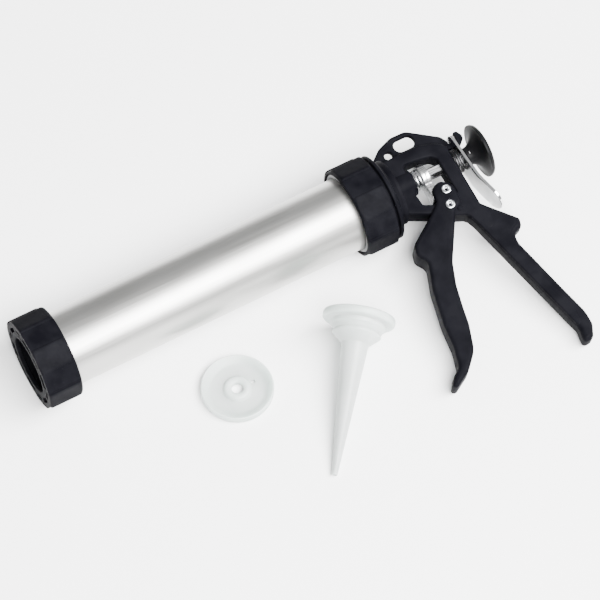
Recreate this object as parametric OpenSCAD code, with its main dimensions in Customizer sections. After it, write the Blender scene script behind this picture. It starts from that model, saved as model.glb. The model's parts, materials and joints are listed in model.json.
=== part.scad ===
// Sausage and cartridge caulking gun, lying on its side on its two screw caps
// and on the tip of its handle, with its nozzle and a spare piston disc beside it.
// Every sub-part is drawn along the barrel: x runs from the front cap to the knob,
// z points away from the handle, and y runs across the frame. lay() then puts it
// down on the floor, z = 0, with the origin under the middle of the whole set.

/* [Barrel] */
// Outside diameter of the barrel tube
barrel_od = 54; // [50:1:58]
// Wall thickness of the barrel tube
barrel_wall = 1.2; // [1:0.1:1.4]
// Front end of the tube, behind the front cap's face
tube_front = 10; // [9.9:0.1:10.5]
// Rear end of the tube
tube_rear = 273.8; // [273:0.1:273.9]

/* [Screw caps] */
// Distance across the twelve flats of a cap
cap_af = 67; // [66:0.5:69]
// Length of the front cap
front_cap_len = 25.5; // [25.5:0.5:29]
// Front face of the rear ring nut
nut_front = 250; // [249.5:0.5:250.5]
// Length of the rear ring nut
nut_len = 24.5; // [23:0.5:24.5]
// Depth of the recess between two grip pads
pad_step = 1.3; // [0.6:0.1:1.6]
// Diameter of the opening that the nozzle looks out of
mouth_d = 41; // [39.5:0.5:43]
// Outside diameter of the threads that the caps run on
thread_d = 60; // [59:0.5:60]

/* [Frame] */
// Thickness of the frame round the window and in the handle
frame_t = 15; // [13:0.5:15]
// Thickness of the fin that holds the hang slot
fin_t = 5; // [3:0.5:7]
// Diameter of the boss that the rod runs through
boss_d = 19.6; // [19:0.2:20.4]
// Diameter of the small hang hole
hang_hole_d = 6; // [4:0.5:6.5]
// Thickness of the handle's end, across its curve
handle_end_d = 9; // [8:0.5:10]

/* [Trigger] */
// Height of the trigger pivot below the rod
pivot_drop = 30; // [30:0.5:31]
// Height of the drive rivet above the pivot
drive_rise = 11.3; // [11:0.1:11.6]
// Thickness of one cheek of the fork
cheek_t = 2.7; // [2.2:0.1:3]
// Diameter of the rivets
rivet_d = 6; // [5:0.5:6]
// Diameter of the drive roller
roller_d = 8.4; // [8:0.1:8.6]

/* [Rod] */
// Distance across the flats of the hexagonal rod
rod_af = 8; // [7:0.5:8]
// Diameter of the pull knob
knob_d = 40; // [34:1:42]
// Place of the piston's front plate
piston_x = 42; // [38:1:60]

/* [Loose pieces] */
// Diameter of the nozzle's flange and of the spare disc
disc_d = 51.2; // [50:0.2:51.4]
// Length of the nozzle
nozzle_len = 116; // [100:1:120]
// Height of the spare disc's rim
disc_h = 6.5; // [5:0.5:8]

/* [Hidden] */
$fn = 96;

gap = 0.3;       // between neighbours that slide past each other
run = 0.06;      // radial clearance of a running fit
eps = 0.01;

// barrel and caps
cap_apothem = cap_af / 2;
cap_corner = cap_apothem / cos(15);
recess_w = 2 * cap_apothem * tan(15) - 1;
thread_r = thread_d / 2;
nut_r = thread_r + gap;
tube_r = barrel_od / 2;
bore_r = tube_r - barrel_wall;
mouth_r = mouth_d / 2;
lip_t = 3;
pocket_end = 8;
seal_t = 1.6;
collar_len = 15;
nut_end = nut_front + nut_len;
nut_lip = 4.5;
mouth_ring = 2;
ring_t = 1.2;
spigot_front = 262;
cone_end = 283;

// frame
half_t = frame_t / 2;
window_x = 326.5;
wall_x = 337;
boss_end = 303.5;
rod_corner = rod_af / 2 / cos(30);
rod_hole = rod_corner + run;
spigot_rim = 31.5;
cone_r = 23.5;
slot_at = [312.5, 28.2];
slot_len = 16;
slot_w = 10;
small_hole_at = [298, 25];

// trigger and drive
pivot = [316.5, -pivot_drop];
drive_pin = [319.5, drive_rise - pivot_drop];
rivet_r = rivet_d / 2;
grip_t = 17;
fork_in = half_t + gap;
fork_out = fork_in + cheek_t;
head_r = 3.7;
head_t = 1.3;
plate_t = 2.8;
drive_rear = drive_pin[0] - roller_d / 2 - gap;
window_low = drive_pin[1] - roller_d / 2 - 0.9;
spring_pocket = 297.5;
spring_r = 7.1;
spring_wire = 0.65;
pocket_half = 1.5;

// release plate
catch_t = 2.2;
catch_w = 22;
catch_tilt = 4;
pad_tilt = 15;
catch_top = [342.8, 18];
catch_bend = catch_top + 37 * [sin(catch_tilt), -cos(catch_tilt)];
catch_end = catch_bend + 27 * [sin(pad_tilt), -cos(pad_tilt)];
hook_y = 3.5;
catch_spring_end = 341.9;
catch_spring_r = 8.6;
catch_spring_wire = 0.7;

// rod, knob and piston
knob_x = 347;
pin_x = 350.5;
pin_r = 1.2;
stud_r = 3;
plate_front = piston_x + 3;
plate_rear = plate_front + 1.5;

// how the gun lies: the handle's end touches the floor beside the caps
handle_end = [354.5, -158];
reach = handle_end_d / 2 - handle_end[1];
lean = asin(cap_apothem / norm([reach, half_t])) - atan(half_t / reach);
gun_len = 363.5;
shift_x = -gun_len / 2;
shift_y = 63.5;

// loose pieces, measured from the front of the barrel's axis
disc_at = [124, -71];
nozzle_at = [221, -71.5];
nozzle_turn = -128;
rim_t = 6;
tip_r = 2.2;
flange_r = disc_d / 2;
nozzle_tilt = atan((flange_r - tip_r) / (nozzle_len - rim_t));

module lay() {
    translate([shift_x, shift_y, cap_apothem]) rotate([lean - 90, 0, 0]) children();
}

// A turned piece along the barrel, from points of [place, radius]
module turned(points) {
    rotate([90, 0, 90]) rotate_extrude() polygon([for (p = points) [p[1], p[0]]]);
}

module tube(x0, x1, r_out, r_in) {
    turned([[x0, r_in], [x0, r_out], [x1, r_out], [x1, r_in]]);
}

module rod_shape(x0, x1, r) {
    translate([x0, 0, 0]) rotate([0, 90, 0]) cylinder(r = r, h = x1 - x0);
}

// A flat shape of the side view, made as thick as t across the frame
module slab(t) {
    rotate([90, 0, 0]) linear_extrude(t, center = true) children();
}

module cross_pin(at, r, y) {
    translate([at[0], 0, at[1]]) rotate([90, 0, 0]) cylinder(r = r, h = 2 * y, center = true);
}

// Two discs of the side view and the straight flanks that touch both
module link(p, q) {
    d = norm([q[0] - p[0], q[1] - p[1]]);
    way = atan2(q[1] - p[1], q[0] - p[0]);
    side = acos((p[2] - q[2]) / d);
    a = way + side;
    b = way - side;
    polygon([
        [p[0] + p[2] * cos(a), p[1] + p[2] * sin(a)],
        [p[0] + p[2] * cos(b), p[1] + p[2] * sin(b)],
        [q[0] + q[2] * cos(b), q[1] + q[2] * sin(b)],
        [q[0] + q[2] * cos(a), q[1] + q[2] * sin(a)]
    ]);
    translate([p[0], p[1]]) circle(r = p[2]);
    translate([q[0], q[1]]) circle(r = q[2]);
}

module chain(discs) {
    for (i = [0 : len(discs) - 2]) link(discs[i], discs[i + 1]);
}

// A round wire wound about the rod, from x0 to x1
function wire_ring(x, turn, r, wire, sides) = [
    for (k = [0 : sides - 1])
        let (u = 360 * k / sides)
            [x + wire * sin(u), (r + wire * cos(u)) * cos(turn), (r + wire * cos(u)) * sin(turn)]
];

module coil(x0, x1, r, wire, turns) {
    sides = 8;
    steps = ceil(turns * 20);
    rise = x1 - x0 - 2 * wire;
    points = [
        for (i = [0 : steps])
            each wire_ring(x0 + wire + rise * i / steps, 360 * turns * i / steps, r, wire, sides)
    ];
    skin = [
        for (i = [0 : steps - 1])
            for (k = [0 : sides - 1])
                let (n = (k + 1) % sides)
                    [i * sides + k, i * sides + n, (i + 1) * sides + n, (i + 1) * sides + k]
    ];
    cap_a = [[for (k = [0 : sides - 1]) sides - 1 - k]];
    cap_b = [[for (k = [0 : sides - 1]) steps * sides + k]];
    polyhedron(points, concat(skin, cap_a, cap_b), convexity = 10);
}

module barrel_tube() {
    color("silver") lay() tube(tube_front, tube_rear, tube_r, bore_r);
}

module front_collar() {
    color("silver") lay() tube(tube_front, tube_front + collar_len, thread_r, tube_r);
}

module barrel_snap_ring() {
    color("silver") lay() tube(spigot_front - 2, spigot_front, tube_r + 2, tube_r);
}

// Twelve-sided grip with six raised pads, turned so that a recess faces up and down
module grip(x0, x1, front_round, rear_round) {
    rotate([-lean, 0, 0]) difference() {
        intersection() {
            translate([x0, 0, 0]) rotate([0, 90, 0]) rotate([0, 0, 15])
                cylinder(r = cap_corner, h = x1 - x0, $fn = 12);
            turned([
                [x0, 0],
                [x0, cap_apothem - front_round],
                [x0 + front_round, cap_corner + eps],
                [x1 - rear_round, cap_corner + eps],
                [x1, cap_apothem - rear_round],
                [x1, 0]
            ]);
        }
        for (i = [0 : 5])
            rotate([60 * i, 0, 0])
                translate([x0 - 1, cap_apothem - pad_step, -recess_w / 2])
                    cube([x1 - x0 + 2, 10, recess_w]);
    }
}

module front_cap() {
    slot_r = 25.5;
    color("#202022") lay() difference() {
        grip(0, front_cap_len, 1.5, 3);
        rod_shape(-1, lip_t + 1, mouth_r);
        rod_shape(lip_t, pocket_end + eps, disc_d / 2 + gap);
        rod_shape(pocket_end, front_cap_len + 1, nut_r);
        for (i = [0 : 5])
            rotate([60 * i + 90 - lean, 0, 0])
                translate([-1, slot_r, -6]) cube([2.5, 3.5, 12]);
    }
}

module front_seal() {
    color("#303032") lay() tube(pocket_end + 0.1, pocket_end + 0.1 + seal_t, nut_r - gap, 22);
}

module rear_ring_nut() {
    color("#202022") lay() difference() {
        grip(nut_front, nut_end, 3, 1.5);
        rod_shape(nut_front - 1, nut_front + mouth_ring, nut_r);
        rod_shape(nut_front, nut_front + nut_lip, tube_r + gap);
        rod_shape(nut_front + nut_lip, nut_end + 1, nut_r);
    }
}

module slip_washer() {
    x = nut_front + mouth_ring - ring_t;
    color("gainsboro") lay() tube(x - 0.1, x + ring_t - 0.1, nut_r - gap, tube_r + gap);
}

// Side view of the fin along the top, with the hang slot and the small hole
module fin_outline() {
    chain([[287, 20, 4.5], [297, 26.5, 6], [306, 28.4, 7.2], [317, 28, 7], [336, 16, 5]]);
    polygon([[284, -16], [284, 20], [297, 26.5], [317, 28], [336, 16], [336, 5]]);
}

module slot_outline() {
    half = (slot_len - slot_w) / 2;
    chain([[slot_at[0] - half, slot_at[1], slot_w / 2], [slot_at[0] + half, slot_at[1], slot_w / 2]]);
}

// Side view of the thick part: the surround of the window, the pivot and the handle's root
module body_outline() {
    chain([[288, 15, 5], [302, 15.5, 5], [318, 15.5, 5], [332, 10, 5]]);
    chain([[290, -18, 5], [304, -24, 5.5], [316.5, -30, 8], [330, -38, 7]]);
    chain([[332, 10, 5], [332, -20, 5], [336, -44, 6.5], [353, -62.3, 4.2]]);
    chain([[333, -48, 7.5], [340, -76, 7], [350, -117, 6.8], [357, -145, 6.3]]);
    chain([[357, -145, 6.3], [handle_end[0], handle_end[1], handle_end_d / 2]]);
    polygon([[284, -20], [284, 20], [332, 15], [332, 10], [332, -20], [336, -44], [316.5, -30]]);
}

module window_outline() {
    r = 3;
    right = window_x - r;
    low = window_low + r;
    chain([[304.5, 8.5, r], [right - 1, 6, r], [right, low, r], [306, low, r]]);
    polygon([
        [301.5, 9], [right - 1, 9], [window_x, 6], [window_x, low],
        [right, window_low], [306, window_low], [303, low], [301.5, -12]
    ]);
}

// The catch plate hangs on this hook
module hook_outline() {
    polygon([
        [336, 9.5], [349, 9.5], [352.5, 13], [352.5, 15.5],
        [350.5, 19.5], [347.2, 20], [347.2, 13.8], [336, 13.8]
    ]);
}

module frame_casting() {
    color("#262628") lay() difference() {
        union() {
            difference() {
                slab(frame_t) body_outline();
                slab(frame_t + 2) window_outline();
            }
            difference() {
                slab(fin_t) fin_outline();
                slab(fin_t + 2) window_outline();
            }
            slab(2 * hook_y) hook_outline();
            turned([
                [spigot_front, 0], [spigot_front, thread_r], [nut_end, thread_r],
                [nut_end + gap, spigot_rim], [cone_end, cone_r], [cone_end + 4, cone_r], [cone_end + 4, 0]
            ]);
            rod_shape(cone_end, boss_end, boss_d / 2);
        }
        rod_shape(spigot_front - 1, tube_rear, tube_r);
        rod_shape(tube_rear - 1, wall_x + 1, rod_hole);
        tube(spring_pocket, boss_end + 1, spring_r + pocket_half, spring_r - pocket_half);
        slab(fin_t + 2) slot_outline();
        cross_pin(small_hole_at, hang_hole_d / 2, fin_t);
        cross_pin(pivot, rivet_r, frame_t);
    }
}

// Side view of the trigger: fork head, front lobe and curved grip
module trigger_outline() {
    chain([[317.5, -19.5, 8.8], [316.5, -30, 8.5], [307.5, -33, 7], [283, -49.7, 5.5]]);
    chain([[317, -32, 5.5], [290.5, -62, 8.5], [285, -76, 8.7], [280, -93, 8.9]]);
    chain([[280, -93, 8.9], [276.4, -112, 8.4], [271.5, -130, 6.3], [264, -140.5, 4.3]]);
    chain([[264, -140.5, 4.3], [254.5, -148, 2.2]]);
    chain([[283, -49.7, 5.5], [290.5, -62, 8.5]]);
    polygon([[317.5, -19.5], [307.5, -33], [283, -49.7], [290.5, -62], [317, -32]]);
}

// What the frame needs between the two cheeks, over the whole pull
module fork_gap() {
    translate(pivot) circle(r = 20);
    polygon([[340, 10], [270, 10], [270, -15.5], [290, -25.5], [302, -31.5], [316.5, -40], [340, -45]]);
}

// The three stretches of the trigger, each thinner than the one above it
module band(top, low) {
    intersection() {
        trigger_outline();
        translate([200, low]) square([200, top - low]);
    }
}

module grip_channel() {
    chain([[296, -58, 5.5], [290.5, -76, 5.5], [285.5, -93, 5.5], [282, -112, 5]]);
    chain([[300, -60, 5.5], [297, -76, 5.5], [292, -93, 5.5], [289, -112, 5]]);
}

module trigger() {
    color("#262628") lay() difference() {
        union() {
            slab(2 * fork_out) band(0, -50);
            slab(2 * fork_out - 2) band(-50, -60);
            slab(grip_t) band(-60, -160);
        }
        slab(2 * fork_in) fork_gap();
        slab(12) grip_channel();
        cross_pin(pivot, rivet_r + run, fork_out + 1);
        cross_pin(drive_pin, rivet_r, fork_out + 1);
    }
}

// Tubular rivet with a round head at each end
module rivet(at) {
    difference() {
        union() {
            cross_pin(at, rivet_r, fork_out + head_t);
            for (side = [-1, 1])
                translate([0, side * (fork_out + 0.1 + head_t / 2), 0]) cross_pin(at, head_r, head_t / 2);
        }
        for (side = [-1, 1])
            translate([0, side * (fork_out + head_t), 0]) cross_pin(at, rivet_r * 0.55, 4);
    }
}

module pivot_rivet() {
    color("gainsboro") lay() rivet(pivot);
}

module drive_rivet() {
    color("gainsboro") lay() rivet(drive_pin);
}

module drive_roller() {
    color("silver") lay() difference() {
        cross_pin(drive_pin, roller_d / 2, half_t - 0.2);
        cross_pin(drive_pin, rivet_r + run, frame_t);
    }
}

// One gripping plate of the drive, square to the rod at rest: a disc with a tail
module drive_plate(x) {
    tail_w = 13;
    tail_low = 20;
    difference() {
        union() {
            rod_shape(x, x + plate_t, 9.5);
            translate([x, -tail_w / 2, -tail_low]) cube([plate_t, tail_w, tail_low]);
        }
        rod_shape(x - 1, x + plate_t + 1, rod_hole);
    }
}

module drive_plate_front() {
    color("silver") lay() drive_plate(drive_rear - 2 * plate_t);
}

module drive_plate_rear() {
    color("silver") lay() drive_plate(drive_rear - plate_t);
}

module return_spring() {
    x1 = drive_rear - 2 * plate_t - 0.1;
    color("gainsboro") lay() coil(spring_pocket + 0.1, x1, spring_r, spring_wire, 4.5);
}

// Side view of the catch plate: a nearly upright strip, bent back to the thumb pad
module catch_strip() {
    mid_tilt = (catch_tilt + pad_tilt) / 2;
    out = catch_t / 2;
    mid_out = out / cos((pad_tilt - catch_tilt) / 2);
    polygon([
        catch_top + out * [cos(catch_tilt), sin(catch_tilt)],
        catch_top - out * [cos(catch_tilt), sin(catch_tilt)],
        catch_bend - mid_out * [cos(mid_tilt), sin(mid_tilt)],
        catch_end - out * [cos(pad_tilt), sin(pad_tilt)],
        catch_end + out * [cos(pad_tilt), sin(pad_tilt)],
        catch_bend + mid_out * [cos(mid_tilt), sin(mid_tilt)]
    ]);
}

// The same plate seen along the rod, with its rounded pad, its hole and its slot
module catch_face() {
    pad_r = catch_w / 2;
    corner_r = 5;
    low = catch_end[1] + pad_r;
    high = catch_top[1] - corner_r;
    difference() {
        union() {
            translate([0, low]) circle(r = pad_r);
            translate([-pad_r, low]) square([catch_w, high - low]);
            translate([corner_r - pad_r, high - 1]) square([catch_w - 2 * corner_r, corner_r + 0.5]);
            for (side = [-1, 1]) translate([side * (pad_r - corner_r), high]) circle(r = corner_r);
        }
        circle(r = rod_corner + 0.5);
        translate([-hook_y - gap, 9.1]) square([2 * hook_y + 2 * gap, 5.1]);
    }
}

module release_plate() {
    color("gainsboro") lay() intersection() {
        slab(catch_w + 2) catch_strip();
        translate([330, 0, 0]) rotate([90, 0, 90]) linear_extrude(40) catch_face();
    }
}

module release_spring() {
    color("silver") lay()
        coil(wall_x + 0.1, catch_spring_end, catch_spring_r, catch_spring_wire, 2.5);
}

module push_rod() {
    color("silver") lay() difference() {
        union() {
            translate([plate_rear, 0, 0]) rotate([0, 90, 0])
                cylinder(r = rod_corner, h = knob_x - plate_rear, $fn = 6);
            rod_shape(piston_x - 6, plate_rear + 0.1, stud_r);
            rod_shape(knob_x - 0.1, knob_x + 11, stud_r);
        }
        cross_pin([pin_x, 0], pin_r, 10);
    }
}

// Mushroom knob: a neck that flares in a hollow curve to a wide rim, with a domed back
module knob() {
    neck_r = 6.5;
    rim_r = knob_d / 2;
    rear = knob_x + 13;
    flare = [for (u = [0 : 10 : 90]) [knob_x + 10.5 * sin(u), rim_r - (rim_r - neck_r) * cos(u)]];
    dome = [for (u = [90 : -15 : 0]) [rear + 3.5 * cos(u), (rim_r - 0.8) * sin(u)]];
    color("#161618") lay() difference() {
        turned(concat([[knob_x, 0], [knob_x, neck_r]], flare, dome));
        rod_shape(knob_x - 1, knob_x + 11, stud_r);
        cross_pin([pin_x, 0], pin_r, 12);
    }
}

module knob_pin() {
    color("gainsboro") lay() cross_pin([pin_x, 0], pin_r, 7.5);
}

module piston_cup() {
    cup_r = bore_r - gap;
    skirt = cup_r - 1.6;
    rear = piston_x + 14;
    color("#dfe4e0") lay() turned([
        [piston_x, stud_r], [piston_x, cup_r - 3], [plate_front, cup_r], [rear, cup_r],
        [rear, skirt], [plate_front, skirt], [plate_front, stud_r]
    ]);
}

module piston_disc() {
    color("silver") lay() tube(plate_front, plate_rear, 22, stud_r);
}

module piston_nut() {
    color("silver") lay() difference() {
        translate([piston_x - 5, 0, 0]) rotate([0, 90, 0]) cylinder(r = 5.8, h = 5, $fn = 6);
        rod_shape(piston_x - 6, piston_x + 1, stud_r);
    }
}

// Nozzle lying on the edge of its flange and on its tip
module nozzle() {
    drop = (flange_r + rim_t * tan(nozzle_tilt)) * cos(nozzle_tilt);
    wall = 1.3;
    bowl_r = 19.5;
    neck_r = 17;
    spout = [21.5, 9.6];
    outer = [
        [0, flange_r - 1], [1, flange_r], [rim_t, flange_r], [rim_t, bowl_r], [9.5, bowl_r],
        [12.4, neck_r], [15, neck_r], spout, [nozzle_len, tip_r]
    ];
    inner = [
        [nozzle_len, tip_r - 0.9], spout - [0, wall], [14.5, neck_r - 1.4 * wall],
        [8, neck_r - 0.5], [0, flange_r - 4]
    ];
    color("#dfe8e2")
        translate([shift_x + nozzle_at[0], shift_y + nozzle_at[1], drop])
            rotate([0, 0, nozzle_turn]) rotate([0, nozzle_tilt, 0])
                turned(concat(outer, inner));
}

module spare_disc() {
    hub_r = 9.5;
    hole_r = 4.25;
    vent_at = 12.4;
    color("#dfe8e2") translate([shift_x + disc_at[0], shift_y + disc_at[1], 0]) difference() {
        rotate_extrude() polygon([
            [hole_r, 1], [hub_r, 1], [flange_r - 3, 0], [flange_r, 0], [flange_r, disc_h],
            [flange_r - 1.8, disc_h], [flange_r - 3, 1.8], [hub_r, 2.8], [hub_r, 5.5], [hole_r, 5.5]
        ]);
        translate([vent_at, 0, -1]) cylinder(r = 1.1, h = 10);
    }
}

barrel_tube();
front_collar();
barrel_snap_ring();
front_cap();
front_seal();
rear_ring_nut();
slip_washer();
frame_casting();
trigger();
pivot_rivet();
drive_rivet();
drive_roller();
drive_plate_front();
drive_plate_rear();
return_spring();
release_plate();
release_spring();
push_rod();
knob();
knob_pin();
piston_cup();
piston_disc();
piston_nut();
nozzle();
spare_disc();
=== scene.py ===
"""Looks of the caulking gun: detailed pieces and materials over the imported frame.

The gun's own pieces are drawn along the barrel, in millimetres: x runs from the front
cap to the knob, z points away from the handle and y across the frame. LAY puts such a
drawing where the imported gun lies.
"""
import json
import math

import bmesh
import bpy
from mathutils import Matrix, Vector


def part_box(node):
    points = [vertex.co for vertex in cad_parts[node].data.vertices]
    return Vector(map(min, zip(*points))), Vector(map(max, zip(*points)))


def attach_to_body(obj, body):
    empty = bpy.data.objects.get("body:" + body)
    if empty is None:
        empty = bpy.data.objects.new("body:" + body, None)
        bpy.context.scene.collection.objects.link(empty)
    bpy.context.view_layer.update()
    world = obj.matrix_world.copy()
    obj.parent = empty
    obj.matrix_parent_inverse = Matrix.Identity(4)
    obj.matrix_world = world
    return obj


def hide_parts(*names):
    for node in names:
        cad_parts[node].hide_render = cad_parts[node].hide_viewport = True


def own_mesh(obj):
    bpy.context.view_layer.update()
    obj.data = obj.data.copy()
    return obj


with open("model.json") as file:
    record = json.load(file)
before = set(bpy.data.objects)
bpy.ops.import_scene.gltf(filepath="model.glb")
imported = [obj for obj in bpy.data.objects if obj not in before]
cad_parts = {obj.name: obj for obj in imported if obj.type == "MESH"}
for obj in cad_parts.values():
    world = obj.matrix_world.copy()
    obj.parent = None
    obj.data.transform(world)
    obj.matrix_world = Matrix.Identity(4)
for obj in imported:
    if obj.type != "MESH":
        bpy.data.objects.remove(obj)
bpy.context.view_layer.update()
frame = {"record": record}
record = frame["record"]

MM = 0.001
WELD = 1e-6
SEGMENTS = 128


# ---------------------------------------------------------------- places from the frame

def mount(name):
    return next(m for m in record["mounts"] if m["name"] == name)


def joint(name):
    return next(j for j in record["behaviour"]["joints"] if j["name"] == name)


def size(node):
    low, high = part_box(node)
    return high - low


def middle(node):
    low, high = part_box(node)
    return (low + high) / 2


barrel_mid = middle("barrel_tube")
cap_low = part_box("front_cap")[0]
ORIGIN = Vector((cap_low.x, barrel_mid.y, barrel_mid.z))
hang_axis = mount("hang_hole")["axis"]
LEAN = math.asin(-hang_axis[1])
LAY = (
    Matrix.Translation(ORIGIN)
    @ Matrix.Rotation(LEAN - math.pi / 2, 4, "X")
    @ Matrix.Scale(MM, 4)
)
UNLAY = LAY.inverted()


def along(node):
    """First and last place of a node along the barrel, in millimetres."""
    low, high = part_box(node)
    return (low.x - ORIGIN.x) / MM, (high.x - ORIGIN.x) / MM


def drawn(point):
    """A point of the row frame, in the gun's own drawing."""
    return UNLAY @ Vector(point)


TUBE_R = size("barrel_tube").y / 2 / MM
CAP_FLAT = size("front_cap").z / 2 / MM
CAP_CORNER = CAP_FLAT / math.cos(math.radians(15))
NUT_R = size("slip_washer").y / 2 / MM
MOUTH_R = mount("nozzle_seat")["dims"]["r_mm"]
PIVOT = drawn(joint("trigger_pull")["pos_m"])
DRIVE_PIN = drawn(joint("roller_spin")["pos_m"])
KNOB_R = size("knob").y / 2 / MM
DISC_R = size("spare_disc").x / 2 / MM
HOLE_R = mount("hang_hole")["dims"]["r_mm"]


# ---------------------------------------------------------------- mesh helpers

def new_object(name, mesh, material):
    obj = bpy.data.objects.new(name, mesh)
    bpy.context.scene.collection.objects.link(obj)
    mesh.materials.append(material)
    return obj


def finish_mesh(mesh, angle=35):
    """Smooth faces, with hard edges kept where they turn by more than angle."""
    mesh.validate()
    for polygon in mesh.polygons:
        polygon.use_smooth = True
    mesh.set_sharp_from_angle(angle=math.radians(angle))


def weld(mesh):
    """Joins doubled points and turns every face outwards."""
    work = bmesh.new()
    work.from_mesh(mesh)
    bmesh.ops.remove_doubles(work, verts=work.verts, dist=WELD)
    bmesh.ops.recalc_face_normals(work, faces=work.faces)
    work.to_mesh(mesh)
    work.free()


def discard(obj):
    """Removes a helper object and its mesh."""
    mesh = obj.data
    bpy.data.objects.remove(obj)
    bpy.data.meshes.remove(mesh)


def build(name, verts, faces, material, matrix=LAY, angle=35):
    """A piece from points and faces, drawn in the coordinates of matrix."""
    mesh = bpy.data.meshes.new(name)
    mesh.from_pydata([tuple(v) for v in verts], [], faces)
    mesh.transform(matrix)
    weld(mesh)
    finish_mesh(mesh, angle)
    return new_object(name, mesh, material)


def join(name, parts):
    """Several objects as one piece."""
    work = bmesh.new()
    materials = []
    for part in parts:
        if part.data.materials[0] not in materials:
            materials.append(part.data.materials[0])
        start = len(work.faces)
        work.from_mesh(part.data)
        work.faces.ensure_lookup_table()
        for face in work.faces[start:]:
            face.material_index = materials.index(part.data.materials[0])
    mesh = bpy.data.meshes.new(name)
    work.to_mesh(mesh)
    work.free()
    for part in parts:
        discard(part)
    obj = new_object(name, mesh, materials[0])
    for extra in materials[1:]:
        mesh.materials.append(extra)
    return obj


def arc_corner(before, corner, after, radius, steps=6):
    """Points of the arc that rounds one corner of an outline."""
    a = Vector(before) - Vector(corner)
    b = Vector(after) - Vector(corner)
    turn = a.angle(b)
    if radius <= 0 or turn > math.pi - 0.01:
        return [tuple(corner)]
    reach = min(radius / math.tan(turn / 2), 0.49 * a.length, 0.49 * b.length)
    real = reach * math.tan(turn / 2)
    centre = Vector(corner) + (a.normalized() + b.normalized()).normalized() * (
        real / math.sin(turn / 2)
    )
    start = Vector(corner) + a.normalized() * reach - centre
    end = Vector(corner) + b.normalized() * reach - centre
    sweep = start.angle_signed(end)
    return [
        tuple(centre + Matrix.Rotation(-sweep * k / steps, 2) @ start)
        for k in range(steps + 1)
    ]


def rounded(corners, closed=True, steps=6):
    """An outline from (x, z, radius) corners."""
    points = []
    last = len(corners) - 1
    for i, (x, z, radius) in enumerate(corners):
        if not closed and i in (0, last):
            points.append((x, z))
            continue
        before = corners[i - 1][:2]
        after = corners[(i + 1) % len(corners)][:2]
        points += arc_corner(before, (x, z), after, radius, steps)
    return points


def softened(points, radius, closed=True):
    """A turned profile with its corners rounded, except those on the axis."""
    corners = [(x, r, radius if r > 0.01 else 0) for x, r in points]
    return rounded(corners, closed, steps=3)


def turned_faces(turns, count, closed=True):
    """Faces of a turned piece, whose points run turn by turn, count to a turn."""
    faces = []
    for k in range(turns):
        here = k * count
        there = (k + 1) % turns * count
        for i in range(count if closed else count - 1):
            j = (i + 1) % count
            faces.append((here + i, here + j, there + j, there + i))
    return faces


def revolve(name, profile, material, closed=True, segments=SEGMENTS, matrix=LAY, angle=35):
    """A turned piece: profile is a list of (place along x, radius)."""
    verts = []
    for k in range(segments):
        turn = 2 * math.pi * k / segments
        verts += [(x, r * math.cos(turn), r * math.sin(turn)) for x, r in profile]
    faces = turned_faces(segments, len(profile), closed)
    return build(name, verts, faces, material, matrix, angle)


def ring(name, x0, x1, inner, outer, material, edge=0.3):
    corners = [(x0, inner), (x0, outer), (x1, outer), (x1, inner)]
    return revolve(name, softened(corners, edge), material)


def threaded(name, x0, x1, base, depth, pitch, material):
    """A sleeve with a round screw thread between two plain ends."""
    rows = int((x1 - x0) / pitch * 10)
    verts = []
    for k in range(SEGMENTS):
        share = k / SEGMENTS
        turn = 2 * math.pi * share
        for i in range(rows + 1):
            x = x0 + (x1 - x0) * i / rows
            fade = min(1, (x - x0) / pitch, (x1 - x) / pitch)
            wave = 0.5 + 0.5 * math.cos(2 * math.pi * ((x - x0) / pitch - share))
            r = base + depth * fade * wave
            verts.append((x, r * math.cos(turn), r * math.sin(turn)))
    faces = turned_faces(SEGMENTS, rows + 1, closed=False)
    return build(name, verts, faces, material)


def plate(name, outline, holes, half, edge, material, matrix=LAY, steps=3):
    """A flat shape of the side view, half thick to each side, with rounded edges."""
    curve = bpy.data.curves.new(name, "CURVE")
    curve.dimensions = "2D"
    curve.fill_mode = "BOTH"
    curve.extrude = half - edge
    curve.bevel_depth = edge
    curve.bevel_resolution = steps
    curve.offset = -edge
    for points in [outline] + list(holes):
        spline = curve.splines.new("POLY")
        spline.points.add(len(points) - 1)
        for point, (x, z) in zip(spline.points, points):
            point.co = (x, z, 0, 1)
        spline.use_cyclic_u = True
    holder = bpy.data.objects.new(name, curve)
    bpy.context.scene.collection.objects.link(holder)
    bpy.context.view_layer.update()
    ready = bpy.context.evaluated_depsgraph_get()
    mesh = bpy.data.meshes.new_from_object(holder.evaluated_get(ready))
    bpy.data.objects.remove(holder)
    stand = Matrix.Rotation(math.pi / 2, 4, "X")
    mesh.transform(matrix @ stand)
    weld(mesh)
    mesh.materials.clear()
    finish_mesh(mesh, 40)
    return new_object(name, mesh, material)


def circle_points(x, z, radius, count=48):
    turns = [2 * math.pi * k / count for k in range(count)]
    return [(x + radius * math.cos(t), z + radius * math.sin(t)) for t in turns]


def swept_wire(name, path, radius, material, sides=12):
    """A round wire along a path of points, closed at both ends."""
    points = [Vector(p) for p in path]
    verts = []
    side = Vector((1, 0, 0))
    for i, point in enumerate(points):
        ahead = points[min(i + 1, len(points) - 1)]
        behind = points[max(i - 1, 0)]
        way = (ahead - behind).normalized()
        side = (side - way * side.dot(way)).normalized()
        other = way.cross(side)
        for k in range(sides):
            turn = 2 * math.pi * k / sides
            verts.append(point + side * radius * math.cos(turn) + other * radius * math.sin(turn))
    faces = []
    for i in range(len(points) - 1):
        here = i * sides
        there = here + sides
        for k in range(sides):
            n = (k + 1) % sides
            faces.append((here + k, here + n, there + n, there + k))
    last = (len(points) - 1) * sides
    faces.append(tuple(range(sides)))
    faces.append(tuple(last + k for k in range(sides)))
    return build(name, verts, faces, material, angle=60)


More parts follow.
